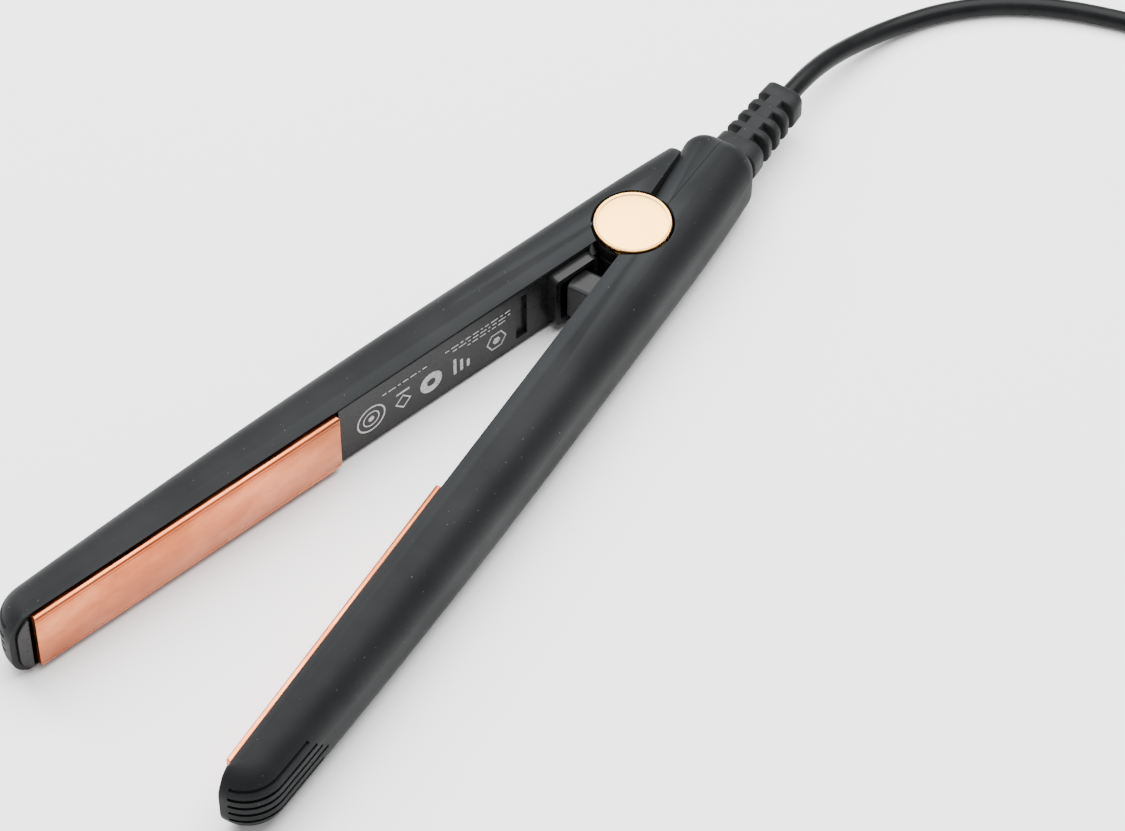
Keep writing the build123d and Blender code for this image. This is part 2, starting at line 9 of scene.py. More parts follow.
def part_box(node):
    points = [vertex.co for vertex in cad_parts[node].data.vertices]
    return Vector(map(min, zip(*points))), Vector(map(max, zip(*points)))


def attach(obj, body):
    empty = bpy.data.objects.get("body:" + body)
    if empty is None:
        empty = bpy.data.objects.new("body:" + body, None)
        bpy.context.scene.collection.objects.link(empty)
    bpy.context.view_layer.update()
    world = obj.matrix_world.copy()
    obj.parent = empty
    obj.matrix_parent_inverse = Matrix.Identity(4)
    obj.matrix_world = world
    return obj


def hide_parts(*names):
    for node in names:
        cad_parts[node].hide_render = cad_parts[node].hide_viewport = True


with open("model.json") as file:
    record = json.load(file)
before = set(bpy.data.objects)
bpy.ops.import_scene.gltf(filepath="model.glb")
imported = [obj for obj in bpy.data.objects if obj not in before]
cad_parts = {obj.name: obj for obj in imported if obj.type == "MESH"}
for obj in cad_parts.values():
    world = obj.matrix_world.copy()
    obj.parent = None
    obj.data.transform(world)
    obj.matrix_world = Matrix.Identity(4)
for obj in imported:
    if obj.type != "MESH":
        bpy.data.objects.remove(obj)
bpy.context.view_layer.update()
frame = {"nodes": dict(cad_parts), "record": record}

MM = 0.001

# Everything below is in millimetres and is turned into metres as it is made.
OPEN_ANGLE = 18.6                    # degrees between the arms at rest
MID = 0.5 * (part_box("cap_lower")[0].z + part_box("cap_upper")[1].z) / MM
FIXED = "fixed_arm"
MOVING = "moving_arm"


# ---------------------------------------------------------------- camera, light and floor
CAMERA_TARGET = Vector((40.4, 5.7, -1.9)) * MM
CAMERA_DISTANCE = 1.002
CAMERA_AZIMUTH = 30.64
CAMERA_ELEVATION = 51.83
CAMERA_LENS = 144.6
CAMERA_SENSOR = 36.0
FLOOR_HALF = 3.0                     # metres


def direction(azimuth, elevation):
    """Unit vector towards a place at this angle round Z and above the floor, in degrees."""
    turn = math.radians(azimuth)
    rise = math.radians(elevation)
    return Vector((math.cos(rise) * math.cos(turn), math.cos(rise) * math.sin(turn), math.sin(rise)))


def aim(obj, target):
    obj.rotation_euler = (target - obj.location).to_track_quat("-Z", "Y").to_euler()


def link(obj):
    bpy.context.scene.collection.objects.link(obj)
    return obj


def add_camera():
    data = bpy.data.cameras.new("camera")
    data.lens = CAMERA_LENS
    data.sensor_width = CAMERA_SENSOR
    data.clip_start = 0.01
    camera = link(bpy.data.objects.new("camera", data))
    camera.location = CAMERA_TARGET + CAMERA_DISTANCE * direction(CAMERA_AZIMUTH, CAMERA_ELEVATION)
    aim(camera, CAMERA_TARGET)
    bpy.context.scene.camera = camera


def add_light(name, azimuth, elevation, distance, size, power):
    data = bpy.data.lights.new(name, "AREA")
    data.shape = "DISK"
    data.size = size
    data.energy = power
    light = link(bpy.data.objects.new(name, data))
    light.location = CAMERA_TARGET + distance * direction(azimuth, elevation)
    aim(light, CAMERA_TARGET)


def add_studio():
    """Even white room light, one big soft light overhead and a low one for the edges."""
    world = bpy.data.worlds.new("studio")
    world.use_nodes = True
    background = world.node_tree.nodes["Background"]
    background.inputs["Color"].default_value = (1.0, 1.0, 1.0, 1.0)
    background.inputs["Strength"].default_value = 0.7
    bpy.context.scene.world = world
    add_light("overhead", 205, 72, 1.4, 1.9, 85)
    add_light("left", 260, 35, 1.4, 0.5, 10)
    mesh = bpy.data.meshes.new("floor")
    half = FLOOR_HALF
    corners = [(-half, -half, 0), (half, -half, 0), (half, half, 0), (-half, half, 0)]
    mesh.from_pydata(corners, [], [(0, 1, 2, 3)])
    floor = link(bpy.data.objects.new("floor", mesh))
    material, shader = new_material("floor")
    shader.inputs["Base Color"].default_value = (0.94, 0.94, 0.94, 1)
    shader.inputs["Roughness"].default_value = 0.9
    mesh.materials.append(material)


# ---------------------------------------------------------------- material helpers
def new_material(name):
    material = bpy.data.materials.new(name)
    material.use_nodes = True
    return material, material.node_tree.nodes["Principled BSDF"]


def add_node(material, kind, **inputs):
    node = material.node_tree.nodes.new(kind)
    for key, value in inputs.items():
        node.inputs[key.replace("_", " ")].default_value = value
    return node


def wire(material, source, target):
    material.node_tree.links.new(source, target)


def place(material, scale=(1, 1, 1), turn=(0, 0, 0)):
    """The object's own coordinates, scaled and turned."""
    texture_place = add_node(material, "ShaderNodeTexCoord")
    mapping = add_node(material, "ShaderNodeMapping", Scale=scale, Rotation=turn)
    wire(material, texture_place.outputs["Object"], mapping.inputs["Vector"])
    return mapping.outputs["Vector"]


def noise(material, scale, detail=4.0, roughness=0.5, stretch=(1, 1, 1), turn=(0, 0, 0)):
    """Noise with this many features to a metre; gives its value from 0 to 1."""
    texture = add_node(material, "ShaderNodeTexNoise", Scale=scale, Detail=detail, Roughness=roughness)
    wire(material, place(material, stretch, turn), texture.inputs["Vector"])
    return texture.outputs["Fac"]


def ramp(material, source, stops):
    """A colour ramp fed by source; stops are (place, colour) pairs."""
    node = add_node(material, "ShaderNodeValToRGB")
    elements = node.color_ramp.elements
    for element, (where, colour) in zip(elements, stops):
        element.position = where
        element.color = (*colour, 1)
    for where, colour in stops[2:]:
        elements.new(where).color = (*colour, 1)
    wire(material, source, node.inputs["Fac"])
    return node.outputs["Color"]


def grey(value):
    return (value, value, value)


def mix(material, share, first, second):
    """Colour mix of two sources by a share."""
    node = material.node_tree.nodes.new("ShaderNodeMix")
    node.data_type = "RGBA"
    wire(material, share, node.inputs["Factor"])
    for source, socket in ((first, node.inputs[6]), (second, node.inputs[7])):
        if isinstance(source, tuple):
            socket.default_value = (*source, 1)
        else:
            wire(material, source, socket)
    return node.outputs[2]


def bump(material, shader, layers):
    """Bumps laid over each other; layers are (source, strength, depth in mm)."""
    normal = None
    for source, strength, depth in layers:
        node = add_node(material, "ShaderNodeBump", Strength=strength, Distance=depth * MM)
        wire(material, source, node.inputs["Height"])
        if normal is not None:
            wire(material, normal, node.inputs["Normal"])
        normal = node.outputs["Normal"]
    wire(material, normal, shader.inputs["Normal"])


def worn_edges(material, low, high):
    """1 on sharp convex edges, 0 elsewhere, from the shape's own curvature."""
    geometry = add_node(material, "ShaderNodeNewGeometry")
    return ramp(material, geometry.outputs["Pointiness"], [(low, grey(0)), (high, grey(1))])


def plain(name, colour, roughness, metallic=0.0, grain=900.0, vary=0.12, depth=0.01, shine=0.5):
    """A moulded or machined surface: slight changes of colour and gloss, and a fine grain."""
    material, shader = new_material(name)
    shader.inputs["Metallic"].default_value = metallic
    shader.inputs["Specular IOR Level"].default_value = shine
    spots = noise(material, grain * 0.25, 3.0)
    dark = tuple(c * (1 - vary) for c in colour)
    light = tuple(min(1.0, c * (1 + vary)) for c in colour)
    wire(material, ramp(material, spots, [(0.35, dark), (0.65, light)]), shader.inputs["Base Color"])
    low = roughness * 0.9
    high = min(1.0, roughness * 1.1)
    gloss = ramp(material, spots, [(0.3, grey(low)), (0.7, grey(high))])
    wire(material, gloss, shader.inputs["Roughness"])
    bump(material, shader, [(noise(material, grain, 5.0), 0.3, depth)])
    return material


# ---------------------------------------------------------------- materials
SHELL_DARK = (0.0052, 0.0060, 0.0065)
SHELL_LIGHT = (0.0080, 0.0089, 0.0096)
SHELL_RUB = (0.024, 0.026, 0.028)
SHELL_DUST = (0.16, 0.17, 0.175)


def soft_touch():
    """Matt rubberised paint: fine pebble, cloudy handling marks, dust specks and rubbed edges."""
    material, shader = new_material("soft_touch")
    clouds = noise(material, 38, 3.0, 0.6)
    handled = ramp(material, clouds, [(0.38, SHELL_DARK), (0.66, SHELL_LIGHT)])
    specks = ramp(material, noise(material, 1500, 1.0), [(0.765, grey(0)), (0.80, grey(0.38))])
    dusty = mix(material, specks, handled, SHELL_DUST)
    rubbed = mix(material, worn_edges(material, 0.54, 0.66), dusty, SHELL_RUB)
    wire(material, rubbed, shader.inputs["Base Color"])
    gloss = ramp(material, clouds, [(0.35, grey(0.60)), (0.70, grey(0.50))])
    wire(material, gloss, shader.inputs["Roughness"])
    shader.inputs["Specular IOR Level"].default_value = 0.085
    shader.inputs["Sheen Weight"].default_value = 0.02
    shader.inputs["Sheen Roughness"].default_value = 0.6
    bump(material, shader, [
        (noise(material, 55, 2.0), 0.05, 0.25),
        (noise(material, 2600, 3.0), 0.35, 0.012),
    ])
    return material


def gloss_black():
    """Moulded black ABS: glossy, with faint flow streaks, hairline scratches and orange peel."""
    material, shader = new_material("gloss_black")
    streaks = noise(material, 60, 5.0, 0.6, stretch=(0.35, 1, 1))
    tint = ramp(material, streaks, [(0.3, grey(0.007)), (0.7, (0.012, 0.0125, 0.013))])
    rubbed = mix(material, worn_edges(material, 0.56, 0.68), tint, (0.035, 0.037, 0.039))
    wire(material, rubbed, shader.inputs["Base Color"])
    gloss = ramp(material, streaks, [(0.3, grey(0.20)), (0.7, grey(0.32))])
    wire(material, gloss, shader.inputs["Roughness"])
    shader.inputs["Specular IOR Level"].default_value = 0.14
    scratches = noise(material, 500, 2.0, stretch=(0.04, 1.6, 1))
    bump(material, shader, [
        (noise(material, 160, 2.0), 0.2, 0.08),
        (scratches, 0.15, 0.006),
    ])
    return material


PLATE_CLOUDS = [(0.36, (0.45, 0.120, 0.042)), (0.50, (0.58, 0.170, 0.064)), (0.64, (0.74, 0.255, 0.110))]


def rose_gold_coating():
    """Copper-coloured plate coating with cloudy smudges from use and fine lengthwise polish."""
    material, shader = new_material("rose_gold_coating")
    shader.inputs["Metallic"].default_value = 1.0
    clouds = noise(material, 42, 5.0, 0.62, stretch=(0.7, 1, 1.3))
    smear = noise(material, 110, 4.0, 0.6, stretch=(0.8, 1, 0.6), turn=(0, 0.6, 0))
    base = ramp(material, clouds, PLATE_CLOUDS)
    spots = ramp(material, noise(material, 900, 2.0), [(0.70, grey(0)), (0.78, grey(0.5))])
    wire(material, mix(material, spots, base, (0.30, 0.085, 0.03)), shader.inputs["Base Color"])
    gloss = ramp(material, smear, [(0.35, grey(0.24)), (0.65, grey(0.42))])
    wire(material, gloss, shader.inputs["Roughness"])
    polish = noise(material, 1400, 3.0, stretch=(0.03, 1, 1))
    bump(material, shader, [
        (noise(material, 70, 3.0), 0.15, 0.05),
        (polish, 0.12, 0.004),
    ])
    return material


def rose_gold_cap():
    """Polished plated trim: pale rose gold with a soft haze and a few fine scuffs."""
    material, shader = new_material("rose_gold_cap")
    shader.inputs["Metallic"].default_value = 1.0
    haze = noise(material, 90, 4.0)
    tint = ramp(material, haze, [(0.3, (0.84, 0.45, 0.115)), (0.7, (0.93, 0.54, 0.155))])
    wire(material, tint, shader.inputs["Base Color"])
    gloss = ramp(material, haze, [(0.3, grey(0.20)), (0.7, grey(0.30))])
    wire(material, gloss, shader.inputs["Roughness"])
    bump(material, shader, [
        (noise(material, 120, 2.0), 0.1, 0.05),
        (noise(material, 2200, 3.0, stretch=(1, 0.1, 1), turn=(0, 0, 0.7)), 0.12, 0.004),
    ])
    return material


def gland_rubber():
    """Matt moulded rubber with a coarse grain and dust in it."""
    material, shader = new_material("gland_rubber")
    clouds = noise(material, 180, 4.0, 0.6)
    tint = ramp(material, clouds, [(0.35, (0.008, 0.0088, 0.0092)), (0.7, (0.014, 0.0148, 0.0152))])
    specks = ramp(material, noise(material, 1800, 1.0), [(0.74, grey(0)), (0.80, grey(0.5))])
    wire(material, mix(material, specks, tint, grey(0.11)), shader.inputs["Base Color"])
    shader.inputs["Roughness"].default_value = 0.62
    shader.inputs["Specular IOR Level"].default_value = 0.13
    shader.inputs["Sheen Weight"].default_value = 0.02
    bump(material, shader, [
        (noise(material, 300, 3.0), 0.2, 0.08),
        (noise(material, 3000, 3.0), 0.4, 0.015),
    ])
    return material


def cord_jacket():
    """Satin PVC jacket, faintly streaked along its length."""
    material, shader = new_material("cord_jacket")
    clouds = noise(material, 140, 4.0)
    tint = ramp(material, clouds, [(0.3, (0.0045, 0.0050, 0.0053)), (0.7, (0.0075, 0.0080, 0.0083))])
    wire(material, tint, shader.inputs["Base Color"])
    gloss = ramp(material, clouds, [(0.3, grey(0.30)), (0.7, grey(0.40))])
    wire(material, gloss, shader.inputs["Roughness"])
    shader.inputs["Specular IOR Level"].default_value = 0.09
    bump(material, shader, [
        (noise(material, 260, 2.0), 0.2, 0.06),
        (noise(material, 2400, 3.0), 0.2, 0.008),
    ])
    return material


def screen_print():
    """Thin white ink, a little uneven where the panel's gloss shows through."""
    material, shader = new_material("screen_print")
    cover = noise(material, 2600, 3.0)
    tint = ramp(material, cover, [(0.36, grey(0.30)), (0.50, (0.62, 0.63, 0.64))])
    wire(material, tint, shader.inputs["Base Color"])
    shader.inputs["Roughness"].default_value = 0.5
    return material


def woven_tie():
    """Hook-and-loop strap: a fine crossed weave."""
    material, shader = new_material("woven_tie")
    weave = add_node(material, "ShaderNodeTexWave", Scale=1100.0, Distortion=0.6)
    wire(material, place(material, turn=(0.3, 0.5, 0)), weave.inputs["Vector"])
    tint = ramp(material, weave.outputs["Fac"], [(0.2, grey(0.006)), (0.8, grey(0.018))])
    wire(material, tint, shader.inputs["Base Color"])
    shader.inputs["Roughness"].default_value = 0.85
    shader.inputs["Specular IOR Level"].default_value = 0.15
    shader.inputs["Sheen Weight"].default_value = 0.06
    bump(material, shader, [(weave.outputs["Fac"], 0.5, 0.1)])
    return material


def make_materials():
    """One material for each of the record's material slots."""
    metal = 1.0
    return {
        "shell": soft_touch(),
        "frame": gloss_black(),
        "plate_coating": rose_gold_coating(),
        "cap": rose_gold_cap(),
        "steel": plain("turned_steel", (0.55, 0.55, 0.56), 0.30, metal),
        "zinc_screw": plain("zinc_plate", (0.50, 0.50, 0.48), 0.35, metal),
        "spring_steel": plain("spring_steel", (0.36, 0.37, 0.40), 0.30, metal),
        "washer": plain("nylon", (0.78, 0.77, 0.72), 0.5),
        "ceramic": plain("alumina", (0.84, 0.82, 0.78), 0.75, vary=0.06),
        "insulation": plain("polyimide_film", (0.62, 0.30, 0.06), 0.28),
        "silicone": plain("silicone", (0.55, 0.12, 0.08), 0.6),
        "cutout_can": plain("plated_can", (0.66, 0.66, 0.68), 0.3, metal),
        "wire": plain("glass_braid", (0.70, 0.69, 0.66), 0.75, grain=2200.0, depth=0.04),
        "crimp": plain("brass_crimp", (0.72, 0.55, 0.27), 0.32, metal),
        "gland_rubber": gland_rubber(),
        "cord": cord_jacket(),
        "tie": woven_tie(),
        "plug": plain("plug_pvc", (0.009, 0.0095, 0.010), 0.5, grain=1500.0, depth=0.02, shine=0.14),
        "plug_pin": plain("brass_pin", (0.78, 0.62, 0.33), 0.26, metal),
    }


# ---------------------------------------------------------------- mesh helpers
def mesh_piece(name, bm, body, material, replaced=(), smooth_angle=None):
    """A bmesh drawn in millimetres becomes a piece that rides on a body."""
    bmesh.ops.scale(bm, vec=(MM, MM, MM), verts=bm.verts)
    bmesh.ops.recalc_face_normals(bm, faces=bm.faces)
    mesh = bpy.data.meshes.new(name)
    bm.to_mesh(mesh)
    bm.free()
    mesh.materials.append(material)
    for polygon in mesh.polygons:
        polygon.use_smooth = True
    obj = link(bpy.data.objects.new(name, mesh))
    if smooth_angle:
        mesh.set_sharp_from_angle(angle=math.radians(smooth_angle))
    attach(obj, body)
    if replaced:
        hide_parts(*replaced)
    return obj


ROUND_CORNER = 0.98                  # a corner of this share of the half size makes a section round


def smooth_step(share):
    share = max(0.0, min(1.0, share))
    return share * share * (3 - 2 * share)


def rounded_section(half_wide, half_high, corner, steps=5):
    """Points round a rectangle with rounded corners, counter-clockwise."""
    points = []
    for turn, (sx, sy) in enumerate(((1, 1), (-1, 1), (-1, -1), (1, -1))):
        centre = (sx * (half_wide - corner), sy * (half_high - corner))
        for step in range(steps + 1):
            angle = math.radians(90 * turn + 90 * step / steps)
            points.append((centre[0] + corner * math.cos(angle), centre[1] + corner * math.sin(angle)))
    return points


def loft_rings(bm, rings):
    """Skin between closed rings of equal count, capped at both ends."""
    made = [[bm.verts.new(point) for point in ring] for ring in rings]
    count = len(made[0])
    for low, high in zip(made, made[1:]):
        for k in range(count):
            following = (k + 1) % count
            bm.faces.new((low[k], low[following], high[following], high[k]))
    bm.faces.new(made[0][::-1])
    bm.faces.new(made[-1])


# ---------------------------------------------------------------- cord
CORD_D = 4.5
LIFT = 0.05                          # between the cord and the surface it lies on
CORD_Z = CORD_D / 2 + LIFT
CORD_EXIT = (-57.668, 7.425, 10.2)
ROUTE = [
    (-64.5, 7.78, 10.2),
    (-75.5, 8.9, 8.1),
    (-86.5, 11.3, 4.9),
    (-97.5, 15.7, 2.7),
    (-107.8, 23.0, CORD_Z),
    (-116.6, 33.4, CORD_Z),
    (-122.8, 46.0, CORD_Z),
    (-126.7, 60.0, CORD_Z),
    (-130.2, 78.0, CORD_Z),
    (-133.6, 98.0, CORD_Z),
]
COIL_CENTRE = (-102.0, 119.0)
COIL_OUTER_TURN_R = 33.0
COIL_TURNS_ACROSS = 4
POINTS_PER_TURN = 20
SHIFT_POINTS = 4                     # points of a turn over which it moves to the next one
TAIL_ROUTE = [
    (-88.5, 152.4, 7.9),
    (-74.5, 154.5, 11.0),
    (-60.0, 154.5, 11.0),
]


def coil_points():
    """The coil's turns: inwards on the floor, up one layer, and outwards again."""
    inward = [COIL_OUTER_TURN_R - CORD_D * k for k in range(COIL_TURNS_ACROSS)]
    radii = inward + inward[::-1]
    levels = [0] * COIL_TURNS_ACROSS + [1] * COIL_TURNS_ACROSS
    last = len(radii) - 1
    points = []
    for step in range(len(radii) * POINTS_PER_TURN + POINTS_PER_TURN // 4 + 1):
        turn = min(step // POINTS_PER_TURN, last)
        following = min(turn + 1, last)
        left = POINTS_PER_TURN - step % POINTS_PER_TURN
        shift = smooth_step((2 * SHIFT_POINTS - left) / SHIFT_POINTS)
        rise = smooth_step((SHIFT_POINTS - left) / SHIFT_POINTS)
        radius = radii[turn] + (radii[following] - radii[turn]) * shift
        level = levels[turn] + (levels[following] - levels[turn]) * rise
        angle = math.pi - 2 * math.pi * step / POINTS_PER_TURN
        points.append((
            COIL_CENTRE[0] + radius * math.cos(angle),
            COIL_CENTRE[1] + radius * math.sin(angle),
            CORD_Z + CORD_D * level,
        ))
    return points


def add_cord(material):
    points = [CORD_EXIT, *ROUTE, *coil_points(), *TAIL_ROUTE]
    data = bpy.data.curves.new("mains_cord", "CURVE")
    data.dimensions = "3D"
    data.bevel_depth = CORD_D / 2 * MM
    data.bevel_resolution = 8
    data.resolution_u = 12
    data.use_fill_caps = True
    spline = data.splines.new("NURBS")
    spline.points.add(len(points) - 1)
    for point, where in zip(spline.points, points):
        point.co = (*(Vector(where) * MM), 1)
    spline.order_u = 3
    spline.use_endpoint_u = True
    data.materials.append(material)
    cord = link(bpy.data.objects.new("mains_cord", data))
    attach(cord, FIXED)
    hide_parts("cord_tube", "cord_tail", "cord_coil")
    return cord


# ---------------------------------------------------------------- strain relief
GLAND_START = Vector((-34.3, 6.2, MID))
GLAND_YAW = -3.0
GLAND_LENGTH = 23.4
GLAND_RIBS = [(0.32, 4.9), (6.9, 8.9), (10.9, 13.0), (14.9, 17.0), (19.0, GLAND_LENGTH)]
GLAND_CORE_R = 3.3
CORE_PLACES = (0.0, 8.0, 16.0, GLAND_LENGTH - 0.6)
RIB_AT_HOUSING = (6.1, 4.6, 3.4)     # half width, half height, corner
RIB_SHRINKS = (1.4, 0.3, 1.1)        # how much less of each at the cord's end
RIB_EDGE = 0.35
SPINE_HALF = 1.9
SPINE_HALF_HIGH = 1.6
SPINE_CORNER = 0.45
SPINE_BELOW_RIBS = 0.03
SPINE_END = 0.8
SPINE_STEPS = 12
SPINE_NARROWS = 0.12                 # share of its width lost by the cord's end


def gland_size(along):
    """Half width, half height and corner of the ribs at this distance from the housing."""
    share = along / GLAND_LENGTH
    return tuple(size - less * share for size, less in zip(RIB_AT_HOUSING, RIB_SHRINKS))


def gland_ring(along, share):
    """A rib's outline, drawn in to this share of its full size."""
    section = rounded_section(*(size * share for size in gland_size(along)))
    return [(along, y, z) for y, z in section]


def add_strain_relief(material):
    """Five soft-edged ribs on a core, joined by a spine along the top and the bottom."""
    bm = bmesh.new()
    for start, end in GLAND_RIBS:
        loft_rings(bm, [
            gland_ring(start, 0.90),
            gland_ring(start + 0.3 * RIB_EDGE, 0.965),
            gland_ring(start + RIB_EDGE, 1.0),
            gland_ring(end - RIB_EDGE, 1.0),
            gland_ring(end - 0.3 * RIB_EDGE, 0.965),
            gland_ring(end, 0.90),
        ])
    core = rounded_section(GLAND_CORE_R, GLAND_CORE_R, GLAND_CORE_R * ROUND_CORNER)
    loft_rings(bm, [[(x, y, z) for y, z in core] for x in CORE_PLACES])
    for side in (-1, 1):
        rings = []
        for step in range(SPINE_STEPS + 1):
            along = SPINE_END + (GLAND_LENGTH - 2 * SPINE_END) * step / SPINE_STEPS
            middle = gland_size(along)[1] - SPINE_BELOW_RIBS - SPINE_HALF_HIGH
            half = SPINE_HALF * (1.0 - SPINE_NARROWS * along / GLAND_LENGTH)
            section = rounded_section(half, SPINE_HALF_HIGH, SPINE_CORNER)
            rings.append([(along, y, side * middle + z) for y, z in section])
        loft_rings(bm, rings)
    spin = Matrix.Rotation(math.radians(180 + GLAND_YAW), 4, "Z")
    bmesh.ops.transform(bm, matrix=Matrix.Translation(GLAND_START) @ spin, verts=bm.verts)
    return mesh_piece("ribbed_strain_relief", bm, FIXED, material,
                      ["strain_relief"], smooth_angle=40)


# ---------------------------------------------------------------- plates and caps
PLATE_X = (84.0, 165.8)
PLATE_FACE_Y = 0.1
PLATE_BACK_Y = 2.5
PLATE_HALF = 8.45
SHEET_THICK = 0.55                   # the face's own thickness, where it overhangs at both ends
SHEET_OVERHANG = 1.4
BEAD_R = 0.8
BEAD_STEPS = 12
BEAD_FROM = -100                     # degrees round the bead, from its top
BEAD_SWEEP = 160
GROOVE_DEPTH = 0.28
BESIDE_BEAD = 2.2                    # width kept for a bead and its groove
PLATE_ENDS = [(0.0, 0.35), (0.12, 0.12), (0.35, 0.0)]    # distance from an end, and how far drawn in


def plate_edge():
    """Half of a plate's section, as (y, z): flat face, thin groove, rolled bead, back."""
    centre_z = PLATE_HALF - BEAD_R
    centre_y = PLATE_FACE_Y + BEAD_R
    face = [(PLATE_FACE_Y, 0.0), (PLATE_FACE_Y, centre_z - 0.42), (PLATE_FACE_Y + 0.04, centre_z - 0.36)]
    groove_y = PLATE_FACE_Y + GROOVE_DEPTH
    groove = [(groove_y, centre_z - 0.30), (groove_y, centre_z - 0.22)]
    bead = []
    for step in range(BEAD_STEPS + 1):
        angle = math.radians(BEAD_FROM + BEAD_SWEEP * step / BEAD_STEPS)
        bead.append((centre_y + BEAD_R * math.sin(angle), centre_z + BEAD_R * math.cos(angle)))
    back = [(PLATE_BACK_Y, centre_z + 0.2), (PLATE_BACK_Y, 0.0)]
    return face + groove + bead + back


def swing(point, opened):
    """A place drawn beside the fixed arm, or mirrored over and swung open with the moving arm."""
    x, y, z = point
    if not opened:
        return (x, y, z)
    turn = math.radians(-OPEN_ANGLE)
    return (x * math.cos(turn) + y * math.sin(turn), x * math.sin(turn) - y * math.cos(turn), z)


def add_plate(name, body, node, opened, material):
    """A coated plate: thin polished face with a rolled bead along both sides, thicker in the middle."""
    half = plate_edge()
    section = half[:-1] + [(y, -z) for y, z in half[:0:-1]]
    x0, x1 = PLATE_X
    ends = [(x0 + away, drawn_in) for away, drawn_in in PLATE_ENDS]
    ends += [(x1 - away, drawn_in) for away, drawn_in in PLATE_ENDS[::-1]]
    bm = bmesh.new()
    rings = []
    for x, drawn_in in ends:
        ring = []
        for y, z in section:
            held = x
            if y > PLATE_FACE_Y + SHEET_THICK and abs(z) < PLATE_HALF - BESIDE_BEAD:
                held = min(max(x, x0 + SHEET_OVERHANG), x1 - SHEET_OVERHANG)
            z_in = math.copysign(min(abs(z), PLATE_HALF - drawn_in), z)
            y_in = max(y, PLATE_FACE_Y + 0.6 * drawn_in)
            ring.append(swing((held, y_in, MID + z_in), opened))
        rings.append(ring)
    loft_rings(bm, rings)
    return mesh_piece(name, bm, body, material, [node], smooth_angle=28)


CAP_R = 8.85
CAP_THICK = 2.0
CAP_STEM_R = 1.3
CAP_STEM_LENGTH = 3.4
CAP_SIDES = 96
CAP_FACE = [                         # radius, and depth below the top: crown, groove, rim
    (0.0, 0.0), (2.5, 0.01), (4.5, 0.04), (6.2, 0.09), (7.4, 0.15),
    (8.02, 0.20), (8.14, 0.24), (8.24, 0.24), (8.32, 0.20),
    (8.46, 0.13), (8.62, 0.14), (8.76, 0.24), (8.84, 0.42), (CAP_R, 0.62),
]


def add_cap(name, node, side, material):
    """A turned trim cap: crowned middle, fine ring groove and a bright rolled rim."""
    stem_end = CAP_THICK + CAP_STEM_LENGTH
    back = [
        (CAP_R, CAP_THICK - 0.1), (CAP_R - 0.1, CAP_THICK),
        (CAP_STEM_R, CAP_THICK), (CAP_STEM_R, stem_end), (0.0, stem_end),
    ]
    bm = bmesh.new()
    rings = []
    for radius, depth in CAP_FACE + back:
        z = MID + side * (MID - depth)
        if radius == 0.0:
            rings.append([bm.verts.new((0.0, 0.0, z))])
            continue
        ring = []
        for k in range(CAP_SIDES):
            turn = 2 * math.pi * k / CAP_SIDES
            ring.append(bm.verts.new((radius * math.cos(turn), radius * math.sin(turn), z)))
        rings.append(ring)
    for inner, outer in zip(rings, rings[1:]):
        for k in range(CAP_SIDES):
            n = (k + 1) % CAP_SIDES
            here = [inner[k % len(inner)], outer[k % len(outer)]]
            beside = [outer[n % len(outer)], inner[n % len(inner)]]
            bm.faces.new(list(dict.fromkeys(here + beside)))
    return mesh_piece(name, bm, FIXED, material, [node], smooth_angle=50)


# ---------------------------------------------------------------- plug
PLUG_MOUTH = Vector((-60.0, 154.5, 11.0))
PLUG_RELIEF = 16.0                   # length of the plug's own strain relief
PLUG_LENGTH = 30.0
PLUG_RINGS = 6                       # round that strain relief
RING_PITCH = 2.6
RING_DEPTH = 0.8
PLUG_BODY = [                        # distance from the body's back, half width, half height
    (0.0, 6.4, 5.2), (0.7, 7.6, 6.1),
    (3.0, 8.6, 7.0), (8.0, 10.3, 8.5), (13.0, 11.6, 9.6), (18.0, 12.6, 10.3), (24.0, 13.4, 10.8),
    (PLUG_LENGTH - 3.2, 13.7, 10.9), (PLUG_LENGTH - 3.0, 13.4, 10.6),
    (PLUG_LENGTH - 2.5, 13.4, 10.6), (PLUG_LENGTH - 2.3, 13.9, 10.95),
    (PLUG_LENGTH - 0.5, 14.0, 11.0), (PLUG_LENGTH, 13.5, 10.5),
]
GRIPS = 5
GRIP_FROM = 8.5
GRIP_PITCH = 2.6
GRIP_HALF = 0.55
GRIP_REACH = 3.4


def plug_ring(x, half_wide, half_high, roundness=0.55):
    section = rounded_section(half_wide, half_high, roundness * half_high, 7)
    return [(PLUG_MOUTH.x + x, PLUG_MOUTH.y + y, PLUG_MOUTH.z + z) for y, z in section]


